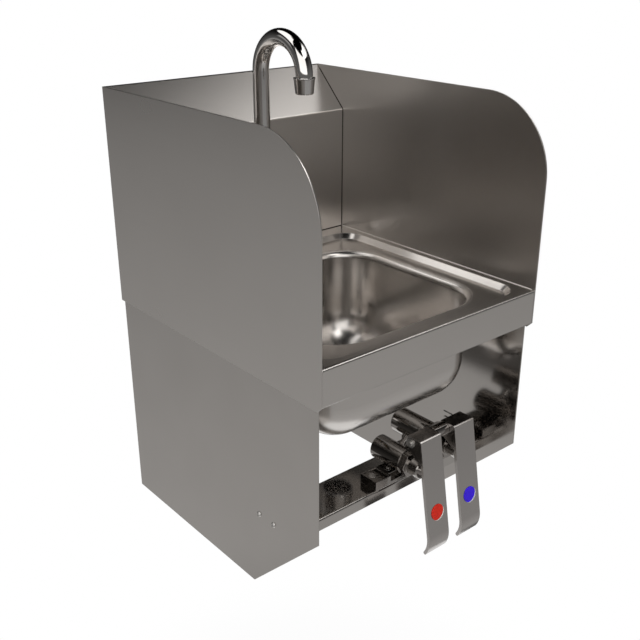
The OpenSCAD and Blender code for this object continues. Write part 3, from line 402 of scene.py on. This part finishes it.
WORN_BY = {
    "side_sheet": ["left_side_splash", "right_side_splash"],
    "panel_sheet": ["left_lower_panel", "right_lower_panel"],
    "back_sheet": ["backsplash"],
    "deck_sheet": ["deck"],
    "bowl_sheet": ["bowl"],
    "rail_sheet": ["valve_rail"],
    "hanger_sheet": ["wall_hanger"],
    "lever_plate": ["hot_lever", "cold_lever"],
    "bright_plating": [
        "spout_tube", "spout_base", "spout_nut", "aerator_shell", "drain_body", "drain_locknut",
        "strainer_grid", "hot_stem", "cold_stem", "valve_screws",
    ],
    "valve_plating": ["valve_body", "hot_bonnet", "cold_bonnet"],
    "turned_steel": [
        "rail_screws", "rail_nuts", "valve_nuts", "hinge_pin", "pin_clips", "strainer_screw",
        "spout_washer",
    ],
    "spring_wire": ["hot_spring", "cold_spring"],
    "nut_brass": ["spout_locknut"],
    "black_rubber": [
        "drain_gasket", "spout_gasket", "spout_o_ring", "aerator_washer", "hot_seat_washer",
        "cold_seat_washer",
    ],
    "pressed_fibre": ["drain_washer"],
    "moulded_white_and_painted_highlight": ["aerator_insert"],
    "red_enamel": ["red_index"],
    "blue_enamel": ["blue_index"],
}


def finish_cad():
    """Each CAD node in its finish."""
    for finish, names in WORN_BY.items():
        for name in names:
            mesh = nodes[name].data
            mesh.materials.clear()
            mesh.materials.append(FINISHES[finish])


# Small parts that CAD keeps plain

def corners(node):
    """A node's lowest and highest corner at rest."""
    return (Vector(v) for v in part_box(node))


def skin(mesh, rings):
    """Walls between rings of vertices, with a cap on each end."""
    for low, high in zip(rings, rings[1:]):
        for k in range(len(low)):
            mesh.faces.new((low[k], low[k - 1], high[k - 1], high[k]))
    mesh.faces.new(rings[0])
    mesh.faces.new(reversed(rings[-1]))


def tube(mesh, points, radius, sides=ROUND_SIDES):
    """A round wire along a line of points, added to a mesh."""
    turns = [2 * math.pi * k / sides for k in range(sides)]
    across = (points[1] - points[0]).orthogonal().normalized()
    rings = []
    for i, point in enumerate(points):
        along = (points[min(i + 1, len(points) - 1)] - points[max(i - 1, 0)]).normalized()
        across = (across - along * across.dot(along)).normalized()
        side = along.cross(across)
        ring = [point + (across * math.cos(t) + side * math.sin(t)) * radius for t in turns]
        rings.append([mesh.verts.new(place) for place in ring])
    skin(mesh, rings)


def helix(centre, axis, start, radius, pitch, turns):
    """Points of a wire wound round an axis, from the side where it starts."""
    side = axis.cross(start)
    points = []
    for i in range(int(turns * STEPS_A_TURN) + 1):
        t = 2 * math.pi * i / STEPS_A_TURN
        arm = (start * math.cos(t) + side * math.sin(t)) * radius
        points.append(centre + axis * pitch * i / STEPS_A_TURN + arm)
    return points


def finished(name, mesh, finish, body="sink", smooth=True):
    """A mesh as a piece that rides on a body."""
    data = bpy.data.meshes.new(name)
    bmesh.ops.recalc_face_normals(mesh, faces=mesh.faces)
    for face in mesh.faces:
        face.smooth = smooth
    mesh.to_mesh(data)
    mesh.free()
    data.materials.append(FINISHES[finish])
    made = bpy.data.objects.new(name, data)
    bpy.context.collection.objects.link(made)
    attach(made, body)
    return made


def wound_spring(name, node):
    """Close-wound coils and two straight legs, in the space of the CAD sleeve."""
    low, high = corners(node)
    pin = Vector(SPRING_AT[node])
    left = pin.x - COIL_HALF + WIRE_RADIUS
    right = pin.x + COIL_HALF - WIRE_RADIUS
    mesh = bmesh.new()
    centre = Vector((left, pin.y, pin.z))
    pitch = (right - left) / COIL_TURNS
    tube(mesh, helix(centre, RIGHT, UP, COIL_RADIUS, pitch, COIL_TURNS), WIRE_RADIUS)
    leg = Vector((pin.x + COIL_HALF - 2 * WIRE_RADIUS, pin.y, pin.z + COIL_RADIUS))
    tube(mesh, [leg, Vector((leg.x, high.y, leg.z))], WIRE_RADIUS)
    foot = Vector((pin.x + FOOT_SIDE[node] * FOOT_AT, pin.y - COIL_RADIUS, pin.z))
    tube(mesh, [foot, Vector((foot.x, foot.y, low.z))], WIRE_RADIUS)
    made = finished(name, mesh, "spring_wire")
    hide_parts(node)


def thread(name, node, radius, bottom, top, finish):
    """The raised ridge of an outside thread between two heights."""
    low, high = corners(node)
    centre = Vector(((low.x + high.x) / 2, (low.y + high.y) / 2, bottom))
    turns = (top - bottom) / THREAD_PITCH
    mesh = bmesh.new()
    ridge = helix(centre, UP, RIGHT, radius, THREAD_PITCH, turns)
    tube(mesh, ridge, THREAD_RIDGE, RIDGE_SIDES)
    finished(name, mesh, finish)


def painted_rim_highlight(name, node, body):
    """A painted highlight: a white crescent on the lower right rim of a colour disc, where light
    glints.
    """
    front = Vector((0, -math.cos(LEVER_LEAN), math.sin(LEVER_LEAN)))
    up = Vector((0, math.sin(LEVER_LEAN), math.cos(LEVER_LEAN)))
    points = [nodes[node].matrix_world @ v.co for v in nodes[node].data.vertices]
    reach = max(p.dot(front) for p in points) + GLEAM_PROUD
    low, high = corners(node)
    middle = (low + high) / 2
    centre = middle + front * (reach - middle.dot(front))
    radius = (high.x - low.x) / 2
    mesh = bmesh.new()
    rim = []
    for k in range(GLEAM_STEPS + 1):
        t = GLEAM_FROM + (GLEAM_TO - GLEAM_FROM) * k / GLEAM_STEPS
        width = GLEAM_WIDTH * math.sin(math.pi * k / GLEAM_STEPS) + GLEAM_THIN
        out = RIGHT * math.cos(t) + up * math.sin(t)
        rim.append([mesh.verts.new(centre + out * r) for r in (radius, radius - width)])
    for a, b in zip(rim, rim[1:]):
        mesh.faces.new((a[0], b[0], b[1], a[1]))
    finished(name, mesh, "moulded_white_and_painted_highlight", body=body, smooth=False)


def painted_edge_highlights():
    """Painted highlights: near-white beads along the outer edges that run round the front corners
    of the side splashes, where light catches them.
    """
    low, high = corners("left_side_splash")
    centre_y = low.y + SPLASH_CORNER
    centre_z = high.z - SPLASH_CORNER
    reach = SPLASH_CORNER - EDGE_HIGHLIGHT_RADIUS
    for name, x in (("left_edge_highlight", low.x + EDGE_HIGHLIGHT_RADIUS), ("right_edge_highlight", -low.x - EDGE_HIGHLIGHT_RADIUS)):
        line = [Vector((x, centre_y, high.z - EDGE_HIGHLIGHT_RADIUS))]
        for k in range(1, EDGE_STEPS):
            t = math.pi / 2 * (1 + k / EDGE_STEPS)
            y, z = centre_y + reach * math.cos(t), centre_z + reach * math.sin(t)
            line.append(Vector((x, y, z)))
        line.append(Vector((x, low.y + EDGE_HIGHLIGHT_RADIUS, centre_z)))
        line.append(Vector((x, low.y + EDGE_HIGHLIGHT_RADIUS, centre_z - EDGE_RUN)))
        mesh = bmesh.new()
        tube(mesh, line, EDGE_HIGHLIGHT_RADIUS)
        finished(name, mesh, "edge_highlight_paint")


def seam(name, points, u, v, finish="seam_shade_paint"):
    """A fine seam strip in the corner between two sheets, along a line of points. In its default
    dark finish it is painted shade for the shaded gap of the seam.
    """
    mesh = bmesh.new()
    offsets = (Vector((0, 0, 0)), u * SEAM, v * SEAM)
    skin(mesh, [[mesh.verts.new(point + offset) for offset in offsets] for point in points])
    finished(name, mesh, finish, smooth=False)


def seams():
    """The seams between the back, the sides and the deck: dark strips of painted shade, except
    the deck seams, which are in the side sheet's own finish.
    """
    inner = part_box("left_side_splash")[1][0]
    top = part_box("left_side_splash")[1][2]
    deck_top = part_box("deck")[1][2]
    front_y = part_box("backsplash")[0][1]
    fold = top + front_y
    tilt = (OUTWARD + UP).normalized()
    feet = []
    for side, s in (("left", 1), ("right", -1)):
        x = s * inner
        inward = RIGHT * s
        foot = Vector((x, front_y, deck_top))
        knee = Vector((x, front_y, fold))
        head = Vector((x, -RETURN_EDGE, top - RETURN_EDGE))
        front = Vector((x, DECK_FRONT, deck_top))
        seam(side + "_upright_seam_shade", [foot, knee], inward, OUTWARD)
        seam(side + "_slope_seam_shade", [knee, head], inward, tilt)
        seam(side + "_deck_seam", [foot, front], inward, UP, "side_sheet")
        feet.append(foot)
    seam("back_deck_seam_shade", feet, OUTWARD, UP)


# Studio

def light_path(look):
    """1 for rays that see the background: from the camera, in metal and through glass."""
    rays = ("Is Camera Ray", "Is Glossy Ray", "Is Transmission Ray")
    camera_ray, glossy, through = (look.node("ShaderNodeLightPath", out=ray) for ray in rays)
    return camera_ray.larger(glossy).larger(through)


def world():
    """A white background that lights the sink a little less than it shows."""
    backdrop = bpy.data.worlds.new("white_backdrop")
    bpy.context.scene.world = backdrop
    look = Look(backdrop)
    grey = srgb(BACKDROP_GREY, BACKDROP_GREY, BACKDROP_GREY)
    colour = look.mix_colour(light_path(look), grey, WHITE)
    shader = look.node("ShaderNodeBackground", sockets={"Color": colour, "Strength": 1.0})
    look.output("Surface", shader, "ShaderNodeOutputWorld")


def floor():
    """A round white floor that keeps a faint shadow and fades out towards its rim."""
    bpy.ops.mesh.primitive_circle_add(
        vertices=96, radius=FLOOR_RADIUS, fill_type="NGON", location=FLOOR_PLACE
    )
    made = bpy.context.object
    made.name = "floor"
    look = material("pale_floor")
    seen = light_path(look)
    grey = srgb(FLOOR_GREY, FLOOR_GREY, FLOOR_GREY)
    plain = look.node("ShaderNodeBsdfDiffuse", sockets={"Color": grey})
    white = look.node("ShaderNodeEmission", sockets={"Color": WHITE, "Strength": 1.0})
    away = look.vector("LENGTH", look.point(), out=1)
    share = seen * (away.ramp(FADE_FROM, FADE_TO) * FLOOR_SHADOW + (1 - FLOOR_SHADOW))
    both = look.node("ShaderNodeMixShader", sockets={0: share, 1: plain, 2: white})
    look.output("Surface", both)
    made.data.materials.append(look.owner)


def towards(x, y, flat, degrees, half, soft):
    """1 within half degrees of a place round the sink, 0 away from it."""
    a = math.radians(degrees)
    facing = (x * math.cos(a) + y * math.sin(a)) / flat
    return facing.ramp(math.cos(math.radians(half + soft)), math.cos(math.radians(half - soft)))


def surround():
    """What the metal mirrors: grey below, dark above with soft boxes in it."""
    bpy.ops.mesh.primitive_uv_sphere_add(
        segments=96, ring_count=48, radius=SURROUND_RADIUS, location=SURROUND_PLACE
    )
    made = bpy.context.object
    made.name = "surround"
    look = material("grey_surround")
    unit = look.vector("NORMALIZE", look.point())
    x, y, z = (look.node("ShaderNodeSeparateXYZ", sockets={0: unit}, out=i) for i in range(3))
    flat = (x * x + y * y + NOT_ZERO).root()

    def flag(degrees, half, soft, depth):
        return towards(x, y, flat, degrees, half, soft) * depth

    low = (1 - z.ramp(*LOW_FADE)) * LOW_GREY * (1 - flag(*LOW_FLAG))
    low = low * (1 - flag(*UNDER_FLAG) * (1 - z.ramp(*UNDER_FADE)))
    high = (1 - z.ramp(*HIGH_FADE)) * HIGH_GREY
    for measures in HIGH_FLAGS:
        high = high * (1 - flag(*measures))
    horizon = z.ramp(*HORIZON)
    level = low * (1 - horizon) + high * horizon
    for degrees, half, low_edge, high_edge, bright in SOFT_BOXES:
        facing = towards(x, y, flat, degrees, half, BOX_SIDE_SOFT)
        level = level + facing * z.window(low_edge, high_edge, BOX_EDGE_SOFT) * bright
    glow = {"Color": SURROUND_TINT, "Strength": level}
    look.output("Surface", look.node("ShaderNodeEmission", sockets=glow))
    made.data.materials.append(look.owner)
    made.visible_camera = False
    made.visible_shadow = False


def lamp(name, place, target, size, power):
    data = bpy.data.lights.new(name, "AREA")
    data.shape = "RECTANGLE"
    data.size, data.size_y = size
    data.energy = power
    made = bpy.data.objects.new(name, data)
    made.location = place
    made.rotation_euler = (Vector(target) - Vector(place)).to_track_quat("-Z", "Y").to_euler()
    made.visible_glossy = False
    bpy.context.collection.objects.link(made)


def camera():
    data = bpy.data.cameras.new("camera")
    data.lens = LENS
    data.sensor_width = SENSOR
    data.sensor_fit = "HORIZONTAL"
    made = bpy.data.objects.new("camera", data)
    made.location = CAMERA_PLACE
    made.rotation_euler = CAMERA_LOOK.to_track_quat("-Z", "Y").to_euler()
    bpy.context.collection.objects.link(made)
    bpy.context.scene.camera = made


camera()
finish_cad()
wound_spring("hot_coil", "hot_spring")
wound_spring("cold_coil", "cold_spring")
for name, measures in THREADS.items():
    thread(name, *measures)
# Painted highlights: white crescents on the discs' rims.
painted_rim_highlight("red_painted_rim_highlight", "red_index", "hot_lever")
painted_rim_highlight("blue_painted_rim_highlight", "blue_index", "cold_lever")
# Seams: the dark strips are painted shade.
seams()
# Painted highlights along the splash edges.
painted_edge_highlights()
world()
floor()
surround()
for name, measures in LAMPS.items():
    lamp(name, *measures)
bpy.context.scene.view_settings.view_transform = "Standard"
